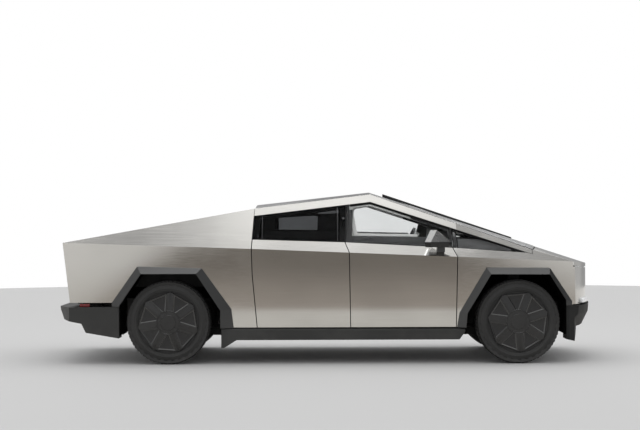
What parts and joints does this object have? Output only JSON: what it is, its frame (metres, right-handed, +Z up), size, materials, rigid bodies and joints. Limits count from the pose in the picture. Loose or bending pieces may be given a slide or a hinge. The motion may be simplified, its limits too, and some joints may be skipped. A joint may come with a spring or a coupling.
{
  "type": "electric pickup truck",
  "caption": "Angular crew-cab electric pickup truck with flat brushed-steel panels, black wheel arches, a sloped roof line and a covered load bed.",
  "frame": {"origin": "on the ground, below the centre of the truck's bounding box", "axes": "+X to the front, +Y to the left, +Z up"},
  "size_m": [5.6828, 2.42, 1.7931],
  "materials": {
    "stainless": "brushed",
    "cladding": "textured",
    "glass": "tinted",
    "tyre": "matt",
    "rim": "satin",
    "casting": "cast",
    "frame": "satin",
    "chassis": "coated",
    "battery": "satin",
    "trim": "grained",
    "shutter": "satin",
    "upholstery": "soft",
    "bumper_metal": "textured",
    "rubber": "matt"
  },
  "bodies": {
    "truck": {"suspension_arms": "casting", "air_springs": "rubber", "drive_units": "casting", "half_shafts": "chassis", "subframes": "chassis", "battery_pack": "battery", "cabin_frame": "frame", "cant_rails": "stainless", "windscreen": "glass", "roof_glass": "glass", "quarter_windows": "glass", "quarter_panels": "stainless", "front_fenders": "stainless", "arch_flares": "cladding", "wheel_liners": "cladding", "rocker_panels": "cladding", "front_fascia": "stainless", "front_bumper": "bumper_metal", "rear_bumper": "bumper_metal", "bed_tub": "trim", "tonneau_cover": "shutter", "front_structure": "frame", "front_trunk_tub": "trim", "dashboard": "trim", "front_seats": "upholstery", "rear_bench": "upholstery", "wiper": "rubber"},
    "door_front_left_body": {"door_front_left": "stainless", "glass_front_left": "glass", "mirror_foot_left": "cladding"},
    "knuckle_front_left_body": {"knuckle_front_left": "casting"},
    "wheel_front_left": {"tyre_front_left": "tyre", "rim_front_left": "rim"},
    "door_front_right_body": {"door_front_right": "stainless", "glass_front_right": "glass", "mirror_foot_right": "cladding"},
    "knuckle_front_right_body": {"knuckle_front_right": "casting"},
    "wheel_front_right": {"tyre_front_right": "tyre", "rim_front_right": "rim"},
    "door_rear_left_body": {"door_rear_left": "stainless", "glass_rear_left": "glass"},
    "knuckle_rear_left_body": {"knuckle_rear_left": "casting"},
    "wheel_rear_left": {"tyre_rear_left": "tyre", "rim_rear_left": "rim"},
    "door_rear_right_body": {"door_rear_right": "stainless", "glass_rear_right": "glass"},
    "knuckle_rear_right_body": {"knuckle_rear_right": "casting"},
    "wheel_rear_right": {"tyre_rear_right": "tyre", "rim_rear_right": "rim"},
    "mirror_left_body": {"mirror_left": "cladding"},
    "mirror_right_body": {"mirror_right": "cladding"},
    "hood_body": {"hood": "stainless"},
    "tailgate_body": {"tailgate": "stainless"},
    "steering_wheel_body": {"steering_wheel": "trim"}
  },
  "joints": [
    {"name": "door_front_left_hinge", "type": "hinge", "parent": "truck", "child": "door_front_left_body", "pos_m": [1.2755, 0.96016, 0.78], "axis": [0, -0.0476, -0.9989], "range_deg": [0, 65]},
    {"name": "door_front_right_hinge", "type": "hinge", "parent": "truck", "child": "door_front_right_body", "pos_m": [1.2755, -0.96016, 0.78], "axis": [0, -0.0476, 0.9989], "range_deg": [0, 65]},
    {"name": "door_rear_left_hinge", "type": "hinge", "parent": "truck", "child": "door_rear_left_body", "pos_m": [0.1625, 0.95796, 0.78], "axis": [0, -0.0476, -0.9989], "range_deg": [0, 65]},
    {"name": "door_rear_right_hinge", "type": "hinge", "parent": "truck", "child": "door_rear_right_body", "pos_m": [0.1625, -0.95796, 0.78], "axis": [0, -0.0476, 0.9989], "range_deg": [0, 65]},
    {"name": "mirror_left_fold", "type": "hinge", "parent": "door_front_left_body", "child": "mirror_left_body", "pos_m": [1.16, 1.004, 1.21], "axis": [0, 0, 1], "range_deg": [0, 40]},
    {"name": "mirror_right_fold", "type": "hinge", "parent": "door_front_right_body", "child": "mirror_right_body", "pos_m": [1.16, -1.004, 1.21], "axis": [0, 0, -1], "range_deg": [0, 40]},
    {"name": "hood_hinge", "type": "hinge", "parent": "truck", "child": "hood_body", "pos_m": [2.131, 0, 1.18265], "axis": [0, -1, 0], "range_deg": [0, 50]},
    {"name": "tailgate_hinge", "type": "hinge", "parent": "truck", "child": "tailgate_body", "pos_m": [-2.673, 0, 0.686], "axis": [0, -1, 0], "range_deg": [0, 83]},
    {"name": "steer_front_left", "type": "hinge", "parent": "truck", "child": "knuckle_front_left_body", "pos_m": [1.962, 0.8, 0.434], "axis": [0, 0, 1], "range_deg": [-30, 30]},
    {"name": "steer_front_right", "type": "hinge", "parent": "truck", "child": "knuckle_front_right_body", "pos_m": [1.962, -0.8, 0.434], "axis": [0, 0, 1], "range_deg": [-30, 30]},
    {"name": "steer_rear_left", "type": "hinge", "parent": "truck", "child": "knuckle_rear_left_body", "pos_m": [-1.673, 0.8, 0.434], "axis": [0, 0, 1], "range_deg": [-10, 10]},
    {"name": "steer_rear_right", "type": "hinge", "parent": "truck", "child": "knuckle_rear_right_body", "pos_m": [-1.673, -0.8, 0.434], "axis": [0, 0, 1], "range_deg": [-10, 10]},
    {"name": "spin_front_left", "type": "hinge", "parent": "knuckle_front_left_body", "child": "wheel_front_left", "pos_m": [1.962, 0.855, 0.434], "axis": [0, 1, 0], "continuous": true},
    {"name": "spin_front_right", "type": "hinge", "parent": "knuckle_front_right_body", "child": "wheel_front_right", "pos_m": [1.962, -0.855, 0.434], "axis": [0, 1, 0], "continuous": true},
    {"name": "spin_rear_left", "type": "hinge", "parent": "knuckle_rear_left_body", "child": "wheel_rear_left", "pos_m": [-1.673, 0.855, 0.434], "axis": [0, 1, 0], "continuous": true},
    {"name": "spin_rear_right", "type": "hinge", "parent": "knuckle_rear_right_body", "child": "wheel_rear_right", "pos_m": [-1.673, -0.855, 0.434], "axis": [0, 1, 0], "continuous": true},
    {"name": "steering_wheel_turn", "type": "hinge", "parent": "truck", "child": "steering_wheel_body", "pos_m": [0.93, 0.4, 1.26], "axis": [-0.9135, 0, 0.4067], "range_deg": [-170, 170]}
  ],
  "couplings": [
    {"joint": "steer_front_left", "follows": "steer_front_right", "ratio": 1},
    {"joint": "steer_rear_left", "follows": "steer_rear_right", "ratio": 1},
    {"joint": "steering_wheel_turn", "follows": "steer_front_right", "ratio": 5.6}
  ]
}
